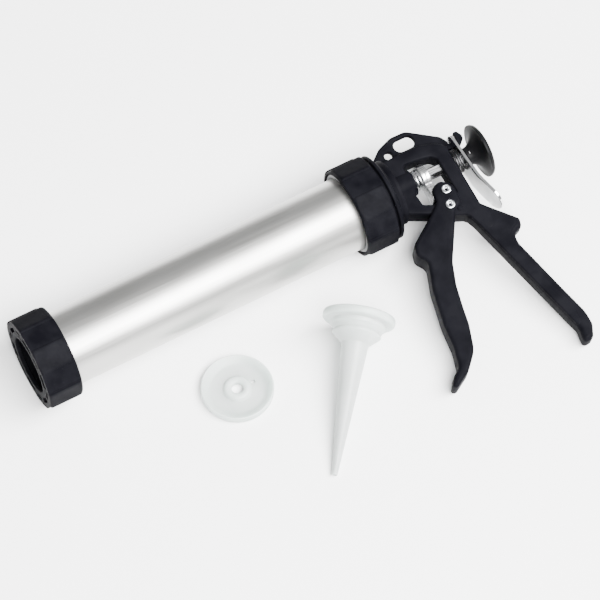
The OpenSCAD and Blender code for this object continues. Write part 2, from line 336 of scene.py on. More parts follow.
def coil_path(x0, x1, radius, turns, end_turns=0.75, steps=32):
    """A compression spring's centreline about the rod, with its end turns closed up."""
    count = int(turns * steps)
    path = []
    for i in range(count + 1):
        t = turns * i / count
        open_turns = turns - 2 * end_turns
        live = min(max(t - end_turns, 0), open_turns) / open_turns
        turn = 2 * math.pi * t
        path.append((x0 + (x1 - x0) * live, radius * math.cos(turn), radius * math.sin(turn)))
    return path


def attach(obj, body, *nodes, slot=None):
    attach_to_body(obj, body)
    if nodes:
        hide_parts(*nodes)
    return obj


# ---------------------------------------------------------------- materials

def noise(tree, scale, detail=4.0, stretch=None):
    """A noise over the object's own coordinates, in features a metre."""
    coords = tree.nodes.new("ShaderNodeTexCoord")
    texture = tree.nodes.new("ShaderNodeTexNoise")
    texture.inputs["Scale"].default_value = scale
    texture.inputs["Detail"].default_value = detail
    source = coords.outputs["Object"]
    if stretch:
        mapping = tree.nodes.new("ShaderNodeMapping")
        mapping.inputs["Scale"].default_value = stretch
        tree.links.new(source, mapping.inputs["Vector"])
        source = mapping.outputs["Vector"]
    tree.links.new(source, texture.inputs["Vector"])
    return texture.outputs["Fac"]


def spread(tree, value, low, high):
    """The middle half of a noise, spread from low to high."""
    ranged = tree.nodes.new("ShaderNodeMapRange")
    ranged.inputs["From Min"].default_value = 0.3
    ranged.inputs["From Max"].default_value = 0.7
    ranged.inputs["To Min"].default_value = low
    ranged.inputs["To Max"].default_value = high
    tree.links.new(value, ranged.inputs["Value"])
    return ranged.outputs["Result"]


def two_tone(tree, value, first, second):
    ramp = tree.nodes.new("ShaderNodeValToRGB")
    ramp.color_ramp.elements[0].position = 0.35
    ramp.color_ramp.elements[1].position = 0.65
    ramp.color_ramp.elements[0].color = (*first, 1)
    ramp.color_ramp.elements[1].color = (*second, 1)
    tree.links.new(value, ramp.inputs["Fac"])
    return ramp.outputs["Color"]


def bump(tree, height, distance, strength):
    made = tree.nodes.new("ShaderNodeBump")
    made.inputs["Strength"].default_value = strength
    made.inputs["Distance"].default_value = distance
    tree.links.new(height, made.inputs["Height"])
    return made.outputs["Normal"]


def surface(
    name, tones, rough, tone_scale=60, rough_scale=200, grain=None, stretch=None, **sockets
):
    """A material with two mixed tones, patchy roughness and a fine grain.

    grain is (features a metre, depth in metres, strength)."""
    made = bpy.data.materials.new(name)
    made.use_nodes = True
    tree = made.node_tree
    shader = tree.nodes["Principled BSDF"]
    colour = two_tone(tree, noise(tree, tone_scale, 3), *tones)
    tree.links.new(colour, shader.inputs["Base Color"])
    patches = spread(tree, noise(tree, rough_scale, 5, stretch), *rough)
    tree.links.new(patches, shader.inputs["Roughness"])
    if grain:
        scale, depth, strength = grain
        normal = bump(tree, noise(tree, scale, 6, stretch), depth, strength)
        tree.links.new(normal, shader.inputs["Normal"])
    for key, value in sockets.items():
        shader.inputs[key.replace("_", " ")].default_value = value
    return made


def anodised():
    """Satin anodised tube: fine drawn lines along the barrel."""
    tones = ((0.43, 0.425, 0.41), (0.49, 0.485, 0.47))
    return surface(
        "anodised_aluminium", tones, (0.34, 0.42), 18, 900, (900, 0.00003, 0.25),
        (0.02, 1, 1), Metallic=1.0,
    )


def black_plastic():
    tones = ((0.0022, 0.0022, 0.0032), (0.0042, 0.0042, 0.0055))
    return surface(
        "black_plastic", tones, (0.46, 0.58), 90, 420, (2600, 0.00004, 0.30),
        Specular_IOR_Level=0.015,
    )


def powder_coat():
    """Satin black powder coat, with its slight orange peel."""
    tones = ((0.0022, 0.0022, 0.0032), (0.0042, 0.0042, 0.0055))
    return surface(
        "black_powder_coat", tones, (0.46, 0.58), 70, 300, (900, 0.00009, 0.30),
        Specular_IOR_Level=0.015,
    )


def gloss_black():
    tones = ((0.0022, 0.0022, 0.0026), (0.004, 0.004, 0.0045))
    return surface(
        "gloss_black_plastic", tones, (0.34, 0.44), 50, 150, (700, 0.00002, 0.12),
        Specular_IOR_Level=0.05,
    )


def zinc():
    tones = ((0.42, 0.44, 0.46), (0.62, 0.63, 0.64))
    return surface(
        "bright_zinc_plate", tones, (0.16, 0.30), 160, 700, (1600, 0.00002, 0.2), Metallic=1.0
    )


# A darker copy of the bright zinc plate: painted shade for zinc parts that sit in shade, the slip
# washer in the nut's mouth and the release spring.
def zinc_painted_shade():
    tones = ((0.035, 0.035, 0.037), (0.07, 0.07, 0.072))
    return surface(
        "zinc_painted_shade", tones, (0.30, 0.42), 160, 700, (1600, 0.00002, 0.2), Metallic=1.0
    )


def chrome():
    tones = ((0.74, 0.75, 0.76), (0.84, 0.84, 0.84))
    return surface(
        "bright_chrome", tones, (0.08, 0.16), 60, 260, (500, 0.00003, 0.12), Metallic=1.0
    )


def drawn_steel():
    """Bright drawn steel, with lines along the rod."""
    tones = ((0.56, 0.56, 0.57), (0.74, 0.74, 0.74))
    return surface(
        "drawn_steel", tones, (0.18, 0.34), 120, 1200, (1400, 0.00003, 0.25),
        (0.05, 1, 1), Metallic=1.0,
    )


def spring_steel():
    tones = ((0.60, 0.61, 0.63), (0.76, 0.76, 0.76))
    return surface(
        "spring_wire", tones, (0.20, 0.32), 240, 900, (2400, 0.00002, 0.2), Metallic=1.0
    )


def milky():
    """Translucent natural polyethylene."""
    tones = ((0.46, 0.52, 0.495), (0.53, 0.58, 0.56))
    return surface(
        "milky_polyethylene", tones, (0.34, 0.48), 40, 300, (500, 0.00006, 0.15),
        Subsurface_Weight=0.6, Subsurface_Radius=(0.012, 0.014, 0.013), Subsurface_Scale=1.0,
        Transmission_Weight=0.12, IOR=1.5,
    )


def rubber():
    tones = ((0.012, 0.012, 0.012), (0.022, 0.022, 0.022))
    return surface("seal_rubber", tones, (0.55, 0.7), 120, 500, (1800, 0.00005, 0.4))


def pale_floor():
    tones = ((0.93, 0.93, 0.93), (0.95, 0.95, 0.95))
    return surface("pale_floor", tones, (0.80, 0.90), 2, 6)


ALUMINIUM = anodised()
PLASTIC = black_plastic()
CAST = powder_coat()
GLOSS = gloss_black()
ZINC = zinc()
# The darker zinc below is painted shade, not a finish of its own.
ZINC_PAINTED_SHADE = zinc_painted_shade()
CHROME = chrome()
STEEL = drawn_steel()
WIRE = spring_steel()
MILKY = milky()
RUBBER = rubber()


# ---------------------------------------------------------------- barrel and screw caps

THREAD_PITCH = 5.0
FACET = 30
PAD_STEP = 1.3
CAP_PROUD = 0.9


def make_barrel():
    x0, x1 = along("barrel_tube")
    wall = 1.2
    tube = ring("barrel_shell", x0, x1, TUBE_R - wall, TUBE_R, ALUMINIUM, edge=0.35)
    attach(tube, "gun", "barrel_tube", slot="anodised_tube")
    x0, x1 = along("front_collar")
    collar = threaded("collar_thread", x0 + 0.2, x1, NUT_R - 0.9, 0.85, THREAD_PITCH, ALUMINIUM)
    ends = ring("collar_band", x0, x1 + 0.6, TUBE_R - 0.1, NUT_R - 0.85, ALUMINIUM)
    piece = join("front_collar_thread", [collar, ends])
    attach(piece, "gun", "front_collar", slot="anodised_tube")
    x0, x1 = along("barrel_snap_ring")
    snap = ring("snap_ring_round", x0, x1, TUBE_R - 0.2, TUBE_R + 2, ZINC, 0.5)
    attach(snap, "gun", "barrel_snap_ring", slot="zinc_steel")


def pad_turns():
    """The angles round a cap at which it is sampled, close together at the pad edges."""
    turns = set(range(0, 360))
    for corner in range(FACET // 2, 360, FACET):
        for step in (0.1, 0.25, 0.4, 0.55, 0.8, 1.2):
            turns.add(corner + step)
            turns.add(corner - step)
    return sorted(turns)


def from_pad(turn):
    """Degrees from the middle of the nearest of the six raised pads."""
    return abs((turn + FACET) % (2 * FACET) - FACET)


def ease(value):
    t = min(max(value, 0.0), 1.0)
    return t * t * (3 - 2 * t)


def grip_radius(turn):
    """Outer radius of the twelve-sided grip at an angle, with its six raised pads."""
    off = abs((turn + FACET / 2) % FACET - FACET / 2)
    here = CAP_FLAT / math.cos(math.radians(off))
    beside = CAP_FLAT / math.cos(math.radians(FACET - off))
    soft = soft_min(here, beside, 1.4)
    return soft - PAD_STEP * ease((from_pad(turn) - 14.95) / 0.75)


def soft_min(a, b, blend):
    """The smaller of two values, with a smooth change over within blend."""
    h = min(max(0.5 + 0.5 * (b - a) / blend, 0.0), 1.0)
    return b + (a - b) * h - blend * h * (1 - h)


def round_drop(share, radius):
    """How far a round edge has fallen, at a share of the way out to its face."""
    return radius * (1 - math.sqrt(max(0, 1 - share * share)))


def end_limit(x, x0, x1, front, rear):
    """Radius that the rounded ends of a cap leave at a place along it."""
    limit = CAP_CORNER + 2
    if x < x0 + front:
        share = (x0 + front - x) / front
        limit = CAP_FLAT + CAP_PROUD - round_drop(share, front)
    if x > x1 - rear:
        share = (x - x1 + rear) / rear
        limit = min(limit, CAP_FLAT + CAP_PROUD - round_drop(share, rear))
    return limit


def end_rows(x0, x1, front, rear):
    """Places along a cap, close together where its ends are round."""
    first = [x0 + front * (1 - math.cos(math.radians(a))) for a in range(0, 91, 15)]
    middle_rows = [x0 + front + (x1 - x0 - front - rear) * k / 6 for k in range(1, 6)]
    last = [x1 - rear + rear * math.sin(math.radians(a)) for a in range(0, 91, 15)]
    return first + middle_rows + last


def make_grip(name, x0, x1, front, rear, inner, pocket, material):
    """A cap: its pads and rounded ends outside, and the inner profile within.

    inner runs from the rear face inwards and forwards to the front face. pocket gives how
    deep the front face is sunk at a radius and an angle."""
    turns = pad_turns()
    rows = end_rows(x0, x1, front, rear)
    verts = []
    for turn in turns:
        c = math.cos(math.radians(turn))
        s = math.sin(math.radians(turn))
        around = grip_radius(turn)
        limits = [end_limit(x, x0, x1, front, rear) for x in rows]
        points = [(x, soft_min(around, limit, 0.5)) for x, limit in zip(rows, limits)]
        points += [(x + pocket(x, r, turn), r) for x, r in inner]
        verts += [(x, r * c, r * s) for x, r in points]
    faces = turned_faces(len(turns), len(rows) + len(inner))
    upright = Matrix.Translation(ORIGIN) @ Matrix.Scale(MM, 4)
    return build(name, verts, faces, material, upright, 32)


def thread_rows(x0, x1, root, depth):
    """A ringed profile that stands for the female thread, from x0 to x1."""
    steps = max(2, int(abs(x1 - x0) / THREAD_PITCH * 8))
    rows = []
    for k in range(steps + 1):
        x = x0 + (x1 - x0) * k / steps
        fade = min(1, abs(x - x0) / THREAD_PITCH * 2, abs(x1 - x) / THREAD_PITCH * 2)
        wave = 0.5 - 0.5 * math.cos(2 * math.pi * (x - x0) / THREAD_PITCH)
        rows.append((x, root + depth * fade * wave))
    return rows


def face_pocket(x, r, turn):
    """The crescent pockets between the mouth's ring and the outer wall of the front cap."""
    if x > 0.01 or not 25.2 < r < 28.6:
        return 0.0
    recess = 2.6 * ease((from_pad(turn) - 17.5) / 1.2)
    pad = 1.1 * ease((7.5 - from_pad(turn)) / 1.2) if r > 26.5 else 0.0
    return recess + pad


def plain_face(x, r, turn):
    """No pockets: the rear nut's front face is flat."""
    return 0.0


def make_front_cap():
    x0, x1 = along("front_cap")
    outer_face = CAP_FLAT - 1.0
    inner = [(x1, NUT_R + 1.6), (x1 - 0.5, NUT_R + 0.9)]
    inner += thread_rows(x1 - 1.2, 9.0, NUT_R, 0.8)
    inner += [(8.0, NUT_R), (8.0, DISC_R + 0.3), (3.3, DISC_R + 0.3), (3.0, DISC_R)]
    inner += [(3.0, MOUTH_R + 0.6), (2.6, MOUTH_R), (0.7, MOUTH_R), (0.2, MOUTH_R + 0.2)]
    inner += [(0.0, MOUTH_R + 0.7), (0.0, 24.2), (0.15, 24.6), (0.0, 25.1), (0.0, 25.3)]
    inner += [(0.0, 26.4), (0.0, 26.6), (0.0, 28.4), (0.0, 28.7), (0.0, 30.4), (0.0, outer_face)]
    cap = make_grip("front_cap_grip", x0, x1, 1.6, 3.6, inner, face_pocket, PLASTIC)
    attach(cap, "front_screw_cap", "front_cap", slot="black_plastic")
    x0, x1 = along("front_seal")
    seal = ring("front_seal_ring", x0, x1, 22, NUT_R - 0.1, RUBBER, 0.6)
    attach(seal, "front_seal_ring", "front_seal", slot="seal_rubber")


def make_rear_nut():
    x0, x1 = along("rear_ring_nut")
    lip = x0 + 4.5
    mouth = x0 + 2.0
    inner = [(x1, NUT_R + 1.2), (x1 - 0.5, NUT_R + 0.7)]
    inner += thread_rows(x1 - 1.2, lip + 1.5, NUT_R, 0.8)
    inner += [(lip, NUT_R), (lip, TUBE_R + 0.4), (mouth, TUBE_R + 0.3), (mouth, NUT_R)]
    inner += [(x0 + 0.4, NUT_R + 0.1), (x0, NUT_R + 0.6)]
    nut = make_grip("rear_nut_grip", x0, x1, 3.4, 1.6, inner, plain_face, PLASTIC)
    attach(nut, "rear_nut", "rear_ring_nut", slot="black_plastic")
    x0, x1 = along("slip_washer")
    # The washer's darker zinc is painted shade for its place in the nut's mouth.
    washer = ring("slip_washer_ring", x0, x1, TUBE_R + 0.25, NUT_R - 0.1, ZINC_PAINTED_SHADE, 0.45)
    attach(washer, "nut_washer", "slip_washer", slot="zinc_steel")


# ---------------------------------------------------------------- frame casting

# Half the frame's thickness. Plates that meet are each a little thinner than the last,
# so that no two of their faces lie in one plane.
HALF_T = 7.5


def cut(obj, *cutters):
    """Takes the cutters out of a piece, and removes them."""
    for cutter in cutters:
        modifier = obj.modifiers.new("cut", "BOOLEAN")
        modifier.operation = "DIFFERENCE"
        modifier.solver = "EXACT"
        modifier.object = cutter
        bpy.context.view_layer.update()
        ready = bpy.context.evaluated_depsgraph_get()
        mesh = bpy.data.meshes.new_from_object(obj.evaluated_get(ready))
        obj.modifiers.clear()
        old = obj.data
        obj.data = mesh
        bpy.data.meshes.remove(old)
        finish_mesh(obj.data, 38)
        discard(cutter)


def cylinder_cutter(start, end, radius, segments):
    """A plain cylinder between two points of the drawing, to cut with."""
    a, b = Vector(start), Vector(end)
    way = (b - a).normalized()
    side = way.orthogonal().normalized()
    other = way.cross(side)
    verts = []
    for point in (a, b):
        for k in range(segments):
            turn = 2 * math.pi * k / segments
            verts.append(point + radius * (side * math.cos(turn) + other * math.sin(turn)))
    faces = []
    for k in range(segments):
        n = (k + 1) % segments
        faces.append((k, n, segments + n, segments + k))
    faces.append(tuple(range(segments)))
    faces.append(tuple(range(segments, 2 * segments)))
    return build("cutter", verts, faces, CAST)


def window_hole():
    return rounded([
        (301.6, 12.2, 2.5), (311, 11.6, 8), (323, 9.4, 3), (326.5, 6, 3), (326.6, -23.7, 2.5),
        (307, -23.7, 3), (300.2, -20.8, 2.5), (299.6, -12, 2), (302.6, -5, 3),
    ])


def surround_outline():
    return rounded([
        (285, 20.6, 2), (301, 21, 10), (319, 20.8, 12), (331, 17, 10), (337.2, 12, 3),
        (337.2, -38, 6), (341, -46, 5), (338, -58, 5), (332, -58, 4),
        (326.8, -44, 7), (323.5, -40.5, 3), (316, -37.2, 4), (302, -29.4, 4), (285.6, -21.2, 2),
    ])


def handle_outline():
    return rounded([
        (331, -22, 3), (337.2, -24, 3), (337.4, -36.5, 5), (342.5, -42.6, 6), (357.2, -59.6, 3.4),
        (355.4, -65.6, 4), (347.6, -68.6, 6), (347.2, -76, 8), (358, -121, 30), (363.3, -142, 24),
        (363.2, -152, 8), (358.4, -161.6, 5), (350.4, -162.4, 3), (352.2, -152, 5),
        (352, -148, 5), (327.2, -48, 4), (324, -41, 5),
    ])


def handle_flat():
    """The horn and the flat side of the handle, beside its rounded palm side."""
    return rounded([
        (331, -36, 3), (336.4, -36.4, 3), (341.4, -44, 6), (354.4, -59.2, 2.6), (352.8, -63, 3),
        (345.4, -66, 6), (344.2, -76, 8), (351, -106, 30), (357.8, -136, 20), (357, -147, 6),
        (353.4, -150, 3), (352.2, -147, 3), (327.6, -48, 4), (325, -41, 4),
    ])


def fin_shape():
    return rounded([
        (284, 14, 1), (284, 24.4, 2), (294, 32.4, 12), (305.4, 36.5, 8), (317.5, 36.3, 9),
        (338.4, 21.2, 6), (341.4, 15.6, 3), (340, 11, 2), (327, 13, 6), (312, 15.4, 10),
    ])


def hang_slot():
    x, z = 312.5, 28.2
    return rounded([(x - 8, z - 5, 5), (x + 8, z - 5, 5), (x + 8, z + 5, 5), (x - 8, z + 5, 5)])


def hook_outline():
    return rounded([
        (336, 9.6, 0), (348.6, 9.6, 2.5), (352.4, 12.8, 2.5), (352.6, 15.6, 2),
        (350.6, 19.6, 1.6), (347.3, 20, 1.2), (347.3, 13.7, 1), (336, 13.7, 0),
    ], steps=5)


def make_frame():
    hang = drawn(mount("hang_hole")["pos_m"])
    hole = circle_points(hang.x, hang.z, HOLE_R)
    parts = [
        plate("surround", surround_outline(), [window_hole()], HALF_T, 1.5, CAST),
        plate("handle", handle_outline(), [], HALF_T - 0.4, 3.6, CAST, steps=6),
        plate("handle_flat", handle_flat(), [], HALF_T - 0.12, 1.4, CAST, steps=4),
        plate("fin", fin_shape(), [hang_slot(), hole], 2.5, 0.9, CAST),
        plate("hook", hook_outline(), [], 3.5, 0.9, CAST),
    ]
    flange = softened([
        (274, 5), (274, TUBE_R), (262.4, TUBE_R), (262.4, NUT_R - 1.2), (276.8, NUT_R - 1.2),
        (277.2, 31.6), (279.2, 31.8), (283.4, 23.6), (285.2, 24.4), (287.4, 24.4), (288, 22),
        (288, 5),
    ], 0.5)
    parts.append(revolve("flange", flange, CAST))
    parts.append(threaded("spigot_thread", 262.6, 277, NUT_R - 1.2, 0.85, THREAD_PITCH, CAST))
    boss = [
        (284, 5), (284, 11.4), (288, 11.2), (290, 9.9), (303.6, 9.6), (303.6, 8.6),
        (298, 8.6), (298, 5.6), (303.6, 5.6), (303.6, 4.7), (284, 4.7),
    ]
    parts.append(revolve("boss", softened(boss, 0.35), CAST, segments=64))
    nub = [(-8.6, 0), (-8.6, 1.2), (-8.1, 1.9), (-6.8, 2.3), (-6.8, 0)]
    parts.append(across_knob("stop_nub", nub, 322.2, -34.6, CAST))
    parts.append(across_knob("flange_nub", nub, 290.5, 9.0, CAST))
    casting = join("frame_casting_shell", parts)
    attach(casting, "gun", "frame_casting", slot="black_cast")


def across_knob(name, profile, x, z, material, segments=40, mirrored=True):
    """A small turned shape that stands on the side of the frame; profile is (y, radius)."""
    shapes = []
    for side in (1, -1) if mirrored else (1,):
        verts = []
        for k in range(segments):
            turn = 2 * math.pi * k / segments
            verts += [(x + r * math.cos(turn), side * y, z + r * math.sin(turn)) for y, r in profile]
        faces = turned_faces(segments, len(profile), closed=False)
        shapes.append(build(name, verts, faces, material))
    return join(name, shapes) if len(shapes) > 1 else shapes[0]


# ---------------------------------------------------------------- trigger and drive

FORK_IN = 7.8
FORK_OUT = 10.5
PLATE_R = 9.5
ROD_HOLE_R = 4.7


def trigger_outline():
    return rounded([
        (309, -24, 6), (310.2, -14.2, 7), (318, -9.6, 8), (326.4, -16, 8), (325.8, -32, 8),
        (318.8, -34.4, 4), (297.4, -68, 22), (291.4, -84, 30), (287.4, -101, 30), (284.8, -114, 26),
        (278.6, -132, 22), (267.6, -143.6, 16), (255, -150.8, 2.4), (251.4, -149, 2),
        (256.4, -142.4, 4), (262.6, -138.4, 6), (266.6, -124, 20), (268.6, -106, 30),
        (274.4, -80, 40), (281.6, -60.6, 7), (276.6, -52.6, 5), (279.2, -45, 7), (300.2, -30.6, 6),
    ], steps=8)


def fork_outline():
    return rounded([
        (345, 12, 0), (262, 12, 0), (262, -14, 0), (286, -24.5, 0), (302, -31.5, 2),
        (303, -46, 8), (316.5, -50.2, 14), (330, -46, 8), (345, -44, 0),
    ])


def slim(obj, top, low, share):
    """Narrows a piece across the frame, from full thickness at top to share at low."""
    for vertex in obj.data.vertices:
        place = UNLAY @ vertex.co
        down = ease((top - place.z) / (top - low))
        place.y *= 1 - (1 - share) * down
        vertex.co = LAY @ place


def make_trigger():
    lever = plate("trigger_lever_shell", trigger_outline(), [], FORK_OUT, 3.0, CAST, steps=6)
    gap = plate("cutter", fork_outline(), [], FORK_IN, 0.4, CAST)
    cut(lever, gap)
    channel = rounded([
        (300, -62, 3), (306, -62, 3), (299, -93, 6), (291, -118, 6), (280, -132, 4), (277, -126, 4),
        (281, -112, 6), (285, -92, 6),
    ])
    cut(lever, plate("cutter", channel, [], 6, 1.5, CAST))
    slim(lever, -46, -92, 0.8)
    finish_mesh(lever.data, 40)
    attach(lever, "trigger_lever", "trigger", slot="black_cast")


def rivet(name, at, body, node_name):
    """Tubular rivet: a shank, and at each end a rolled rim round a dimple."""
    r = 3.0
    face = FORK_OUT + 1.3
    profile = [
        (0.0, r), (FORK_OUT + 0.05, r), (FORK_OUT + 0.1, r + 0.35), (FORK_OUT + 0.3, r + 0.5),
        (face - 0.5, r + 0.45), (face - 0.12, r + 0.1), (face, r - 0.35), (face - 0.12, r - 0.8),
        (face - 0.5, r - 1.1), (face - 1.1, r - 1.5), (face - 1.4, r - 2.1), (face - 1.5, 0.0),
    ]
    piece = across_knob(name, profile, at.x, at.z, ZINC, 64)
    attach(piece, body, node_name, slot="zinc_steel")


def make_drive():
    rivet("pivot_rivet_tube", PIVOT, "gun", "pivot_rivet")
    rivet("drive_rivet_tube", DRIVE_PIN, "trigger_lever", "drive_rivet")
    outer = size("drive_roller").x / 2 / MM
    roller = [
        (-7.3, 3.05), (-7.3, outer - 0.4), (-6.9, outer), (6.9, outer), (7.3, outer - 0.4),
        (7.3, 3.05), (-7.3, 3.05),
    ]
    sleeve = across_knob("drive_roller_sleeve", roller, DRIVE_PIN.x, DRIVE_PIN.z, STEEL, 64, False)
    attach(sleeve, "roller", "drive_roller", slot="plain_steel")
    for side in ("front", "rear"):
        make_drive_plate(side)


def make_drive_plate(side):
    """A stamped gripping plate: a disc round the rod, with a tail down to the roller."""
    x0, x1 = along("drive_plate_" + side)
    half = (x1 - x0) / 2
    turns = [math.radians(a) for a in range(-45, 226, 5)]
    disc = [(PLATE_R * math.cos(t), PLATE_R * math.sin(t)) for t in turns]
    tail = rounded([(-6.5, -8, 1), (-6.5, -20, 2.5), (6.5, -20, 2.5), (6.5, -8, 1)])
    rod_hole = circle_points(0, 0, ROD_HOLE_R)
    place = Matrix.Translation(((x0 + x1) / 2, 0, 0))
    square = LAY @ place @ Matrix.Rotation(math.pi / 2, 4, "Z")
    name = "drive_plate_" + side + "_stamping"
    piece = plate(name, disc + tail, [rod_hole], half, 0.35, STEEL, matrix=square)
    attach(piece, "drive_plates", "drive_plate_" + side, slot="plain_steel")


def make_springs():
    x0, x1 = along("return_spring")
    path = coil_path(x0 + 0.7, x1 - 0.7, 7.1, 5.5)
    spring = swept_wire("return_spring_wire", path, 0.65, WIRE)
    attach(spring, "gun", "return_spring", slot="zinc_steel")
    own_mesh(spring)
    x0, x1 = along("release_spring")
    path = coil_path(x0 + 0.7, x1 - 0.7, 8.6, 3.25, 0.6)
    # The release spring's darker zinc is painted shade.
    spring = swept_wire("release_spring_wire", path, 0.7, ZINC_PAINTED_SHADE)
    attach(spring, "gun", "release_spring", slot="zinc_steel")
    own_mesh(spring)


# ---------------------------------------------------------------- catch plate

CATCH_STEP = 0.5


def catch_path():
    """Mid-line of the catch plate as (length from the top, x, z, tilt), bent in an arc."""
    flat_tilt = math.radians(4)
    pad_tilt = math.radians(15)
    flat, bend, pad = 33.0, 8.0, 23.0
    rows = []
    place = Vector((342.8, 18.0))
    count = int((flat + bend + pad) / CATCH_STEP)
    for k in range(count + 1):
        s = k * CATCH_STEP
        tilt = flat_tilt + (pad_tilt - flat_tilt) * ease((s - flat) / bend)
        rows.append((s, place.x, place.y, tilt))
        place += Vector((math.sin(tilt), -math.cos(tilt))) * CATCH_STEP
    return rows


def bend_along(mesh, rows):
    """Bends a flat plate, drawn downwards from zero, along the rows of a path."""
    length = rows[-1][0]
    work = bmesh.new()
    work.from_mesh(mesh)
    for k in range(1, int(length)):
        geometry = work.verts[:] + work.edges[:] + work.faces[:]
        bmesh.ops.bisect_plane(work, geom=geometry, plane_co=(0, 0, -k), plane_no=(0, 0, 1))
    for vertex in work.verts:
        s = min(max(-vertex.co.z, 0), length)
        row = min(int(round(s / CATCH_STEP)), len(rows) - 1)
        _, x, z, tilt = rows[row]
        rest = s - row * CATCH_STEP
        x += math.sin(tilt) * rest
        z -= math.cos(tilt) * rest
        out = vertex.co.y
        vertex.co = LAY @ Vector((x + out * math.cos(tilt), vertex.co.x, z + out * math.sin(tilt)))
    bmesh.ops.recalc_face_normals(work, faces=work.faces)
    work.to_mesh(mesh)
    work.free()


def make_catch():
    """The chromed plate: cut flat, then bent, with a rounded thumb pad."""
    rows = catch_path()
    length = rows[-1][0]
    half_w = 11.0
    half_thick = 1.1
    rod_at = 18.05
    outline = rounded([
        (-half_w, 0, 5.5), (half_w, 0, 5.5), (half_w, -length, 10.8), (-half_w, -length, 10.8),
    ], steps=12)
    slot_hole = rounded([(-3.8, -3.8, 1), (3.8, -3.8, 1), (3.8, -8.9, 1), (-3.8, -8.9, 1)])
    rod_hole = circle_points(0, -rod_at, 5.1)
    holes = [slot_hole, rod_hole]
    level = Matrix.Identity(4)
    flat = plate("catch_plate_stamping", outline, holes, half_thick, 0.5, CHROME, matrix=level)
    bend_along(flat.data, rows)
    finish_mesh(flat.data, 40)
    attach(flat, "catch", "release_plate", slot="chromed_steel")


# ---------------------------------------------------------------- rod, knob and piston

KNOB_SHOULDER = 347
KNOB_PIN_X = 350.5


def make_rod():
    x0 = along("push_rod")[0]
    corner = 4 / math.cos(math.radians(30))
    quarter = LAY @ Matrix.Rotation(math.pi / 2, 4, "X")
    bar = [
        (x0 + 10.5, 0), (x0 + 10.5, corner - 0.5), (x0 + 11.1, corner),
        (346.6, corner), (KNOB_SHOULDER, corner - 0.5), (KNOB_SHOULDER, 0),
    ]
    hexagon = revolve("hexagon", bar, STEEL, closed=False, segments=6, matrix=quarter, angle=25)
    stud = [(x0, 0), (x0, 2.5), (x0 + 0.6, 3.0)]
    stud += [(x0 + 0.8 + k * 0.25, 3.0 - 0.25 * (k % 2)) for k in range(38)]
    stud += [(x0 + 10.6, 3.0), (x0 + 10.6, 0)]
    parts = [hexagon, revolve("stud", stud, STEEL, closed=False, segments=48)]
    attach(join("push_rod_bar", parts), "rod", "push_rod", slot="plain_steel")


def make_knob():
    """Mushroom knob: a neck, a hollow flare, a thin rim and a domed back."""
    x0, x1 = along("knob")
    neck = 6.6
    rim = x0 + 10.8
    flare = []
    for k in range(19):
        turn = math.radians(5 * k)
        x = x0 + 0.8 + (rim - x0 - 0.8) * math.sin(turn)
        flare.append((x, KNOB_R - (KNOB_R - neck) * math.cos(turn)))
    edge = [(rim + 0.8, KNOB_R + 0.05), (rim + 1.6, KNOB_R - 0.1), (rim + 2.3, KNOB_R - 0.6)]
    dome = []
    for k in range(1, 13):
        turn = math.radians(90 - 7.5 * k)
        x = rim + 2.3 + (x1 - rim - 2.3) * math.cos(turn)
        dome.append((x, (KNOB_R - 0.6) * math.sin(turn)))
    profile = [(x0, 0), (x0, neck - 0.5), (x0 + 0.5, neck)] + flare + edge + dome
    body = revolve("pull_knob_turned", profile, GLOSS, closed=False)
    attach(body, "rod", "knob", slot="gloss_black")
    pin = [(-6.9, 0), (-6.9, 1.0), (-6.7, 1.25), (6.7, 1.25), (6.9, 1.0), (6.9, 0)]
    piece = across_knob("knob_cross_pin", pin, KNOB_PIN_X, 0, STEEL, 24, False)
    attach(piece, "rod", "knob_pin", slot="plain_steel")


def make_piston():
    x0, x1 = along("piston_cup")
    r = size("piston_cup").y / 2 / MM
    cup = softened([
        (x0, 3.1), (x0, 9), (x0 + 0.8, 10), (x0, 11), (x0, r - 3), (x0 + 3, r), (x1, r),
        (x1, r - 1.4), (x0 + 4.2, r - 1.8), (x0 + 2.8, r - 4.5), (x0 + 2.8, 3.1),
    ], 0.5)
    attach(revolve("piston_cup_moulding", cup, MILKY), "rod", "piston_cup", slot="milky_plastic")
    x0, x1 = along("piston_disc")
    disc = ring("piston_disc_stamping", x0, x1, 3.05, 22, STEEL, 0.4)
    attach(disc, "rod", "piston_disc", slot="plain_steel")
    x0, x1 = along("piston_nut")
    profile = [(x0, 3.0), (x0, 5.2), (x0 + 0.5, 5.8), (x1 - 0.1, 5.8), (x1, 5.6), (x1, 3.0)]
    nut = revolve("piston_hex_nut", profile, ZINC, segments=6, angle=25)
    attach(nut, "rod", "piston_nut", slot="plain_steel")


# ---------------------------------------------------------------- loose pieces

def nozzle_profile(length):
    """Thick rounded rim, two shallow steps in the bowl, a cone and the long spout."""
    r = DISC_R
    tip = 2.1
    spout_x, spout_r = 24, 9.4
    bore_x, bore_r = 22, 8.1
    shoulder = softened([
        (5.6, 22), (6.2, 19.6), (9.0, 19.4), (10.0, 18.2), (12.0, 17.2), (12.7, 16.5),
        (13.4, 16.5), (13.8, 17.2), (15.0, 17.1), (21.4, 9.75), (24, 9.4),
    ], 0.5, closed=False)
    outer = [(0.0, r - 1.6), (0.4, r - 0.6), (1.4, r - 0.1), (2.6, r), (4.2, r - 0.1)]
    outer += [(5.2, r - 0.7), (5.7, r - 1.7)] + shoulder
    inner = [(length, tip - 0.7)]
    for k in range(1, 9):
        outer.append((spout_x + (length - spout_x) * k / 8, spout_r + (tip - spout_r) * k / 8))
        x = length - (length - bore_x) * k / 8
        inner.append((x, tip - 0.8 + (bore_r - tip + 0.8) * k / 8))
    inner += [(14.5, 15.2), (8.5, 16.4), (4.6, 20.6), (1.6, 22.2), (0.4, 22.8)]
    return outer + inner


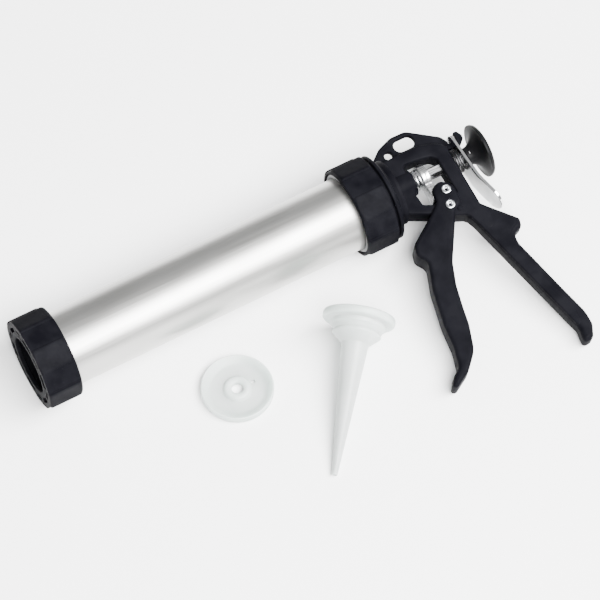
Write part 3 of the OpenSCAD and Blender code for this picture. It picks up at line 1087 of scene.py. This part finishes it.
def nozzle_matrix():
    """Where the nozzle lies, from the box of its node: it rests on its flange and its tip."""
    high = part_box("nozzle")[1]
    turn = math.radians(-128)
    length = 116.0
    rim, tip_r = 6.0, 2.2
    tilt = math.atan((DISC_R - tip_r) / (length - rim))
    height = (DISC_R + rim * math.tan(tilt)) * math.cos(tilt)
    spin = Matrix.Rotation(turn, 4, "Z") @ Matrix.Rotation(tilt, 4, "Y")
    side = spin.to_3x3() @ Vector((0, 1, 0))
    up = spin.to_3x3() @ Vector((0, 0, 1))
    reach_y = DISC_R * MM * math.hypot(side.y, up.y)
    reach_x = DISC_R * MM * math.hypot(side.x, up.x)
    base = Vector((high.x - reach_x, high.y - reach_y, height * MM))
    return Matrix.Translation(base) @ spin @ Matrix.Scale(MM, 4), length


def make_nozzle():
    matrix, length = nozzle_matrix()
    piece = revolve("nozzle_moulding", nozzle_profile(length), MILKY, matrix=matrix, angle=50)
    attach(piece, "loose_nozzle", "nozzle", slot="milky_plastic")


def make_spare_disc():
    low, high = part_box("spare_disc")
    mid = (low + high) / 2
    top = (high.z - low.z) / MM
    r = DISC_R
    profile = [
        (0.3, r - 1.0), (1.0, r - 0.3), (2.0, r), (top - 1.2, r), (top - 0.3, r - 0.3),
        (top, r - 0.8), (top - 0.2, r - 1.2), (4.6, r - 4.0), (3.6, r - 5.4), (3.1, r - 6.6),
        (2.9, r - 8), (2.8, 10.6), (3.1, 10.0), (4.4, 9.3), (5.2, 8.4), (5.6, 7.2), (5.5, 6.2),
        (5.2, 5.4), (4.9, 4.7), (4.5, 4.25), (1.2, 4.25), (0.9, 4.6), (0.9, 9.0), (0.0, r - 3.4),
        (0.0, r - 1.6),
    ]
    upright = (
        Matrix.Translation((mid.x, mid.y, low.z))
        @ Matrix.Rotation(-math.pi / 2, 4, "Y")
        @ Matrix.Scale(MM, 4)
    )
    disc = revolve("spare_disc_moulding", profile, MILKY, matrix=upright, angle=50)
    vent_out = 12.4
    centre = drawn((mid.x + vent_out * MM, mid.y, 0))
    up = UNLAY.to_3x3() @ Vector((0, 0, MM))
    cut(disc, cylinder_cutter(centre - up * 5, centre + up * 12, 1.5, 32))
    attach(disc, "loose_disc", "spare_disc", slot="milky_plastic")


# ---------------------------------------------------------------- floor, light and camera

def make_floor():
    mesh = bpy.data.meshes.new("floor")
    half = 4.0
    corners = [(-half, -half, 0), (half, -half, 0), (half, half, 0), (-half, half, 0)]
    mesh.from_pydata(corners, [], [(0, 1, 2, 3)])
    new_object("floor", mesh, pale_floor())


def soft_light(name, place, aim, width, depth, power):
    lamp = bpy.data.lights.new(name, "AREA")
    lamp.shape = "RECTANGLE"
    lamp.size = width
    lamp.size_y = depth
    lamp.energy = power
    obj = bpy.data.objects.new(name, lamp)
    bpy.context.scene.collection.objects.link(obj)
    obj.location = place
    obj.rotation_euler = (Vector(aim) - Vector(place)).to_track_quat("-Z", "Y").to_euler()


def make_light():
    world = bpy.data.worlds.new("studio")
    world.use_nodes = True
    background = world.node_tree.nodes["Background"]
    background.inputs["Color"].default_value = (0.98, 0.99, 1.0, 1)
    background.inputs["Strength"].default_value = 0.55
    bpy.context.scene.world = world
    soft_light("key", (0.72, -1.55, 2.6), (0, 0, 0), 4.2, 1.9, 900)


def make_camera():
    """A long lens, high and to the front left of the gun."""
    azimuth = math.radians(-28.97)
    elevation = math.radians(60.46)
    distance = 2.449
    aim = ORIGIN + Vector((0.1972, -0.0285, -ORIGIN.z))
    back = Vector((
        math.sin(azimuth) * math.cos(elevation),
        -math.cos(azimuth) * math.cos(elevation),
        math.sin(elevation),
    ))
    data = bpy.data.cameras.new("camera")
    data.lens = 208.3
    data.sensor_width = 36
    data.clip_end = 20
    camera = bpy.data.objects.new("camera", data)
    bpy.context.scene.collection.objects.link(camera)
    camera.location = aim + back * distance
    camera.rotation_euler = (-back).to_track_quat("-Z", "Y").to_euler()
    bpy.context.scene.camera = camera


make_barrel()
make_front_cap()
make_rear_nut()
make_frame()
make_trigger()
make_drive()
make_springs()
make_catch()
make_rod()
make_knob()
make_piston()
make_nozzle()
make_spare_disc()
make_floor()
make_light()
make_camera()
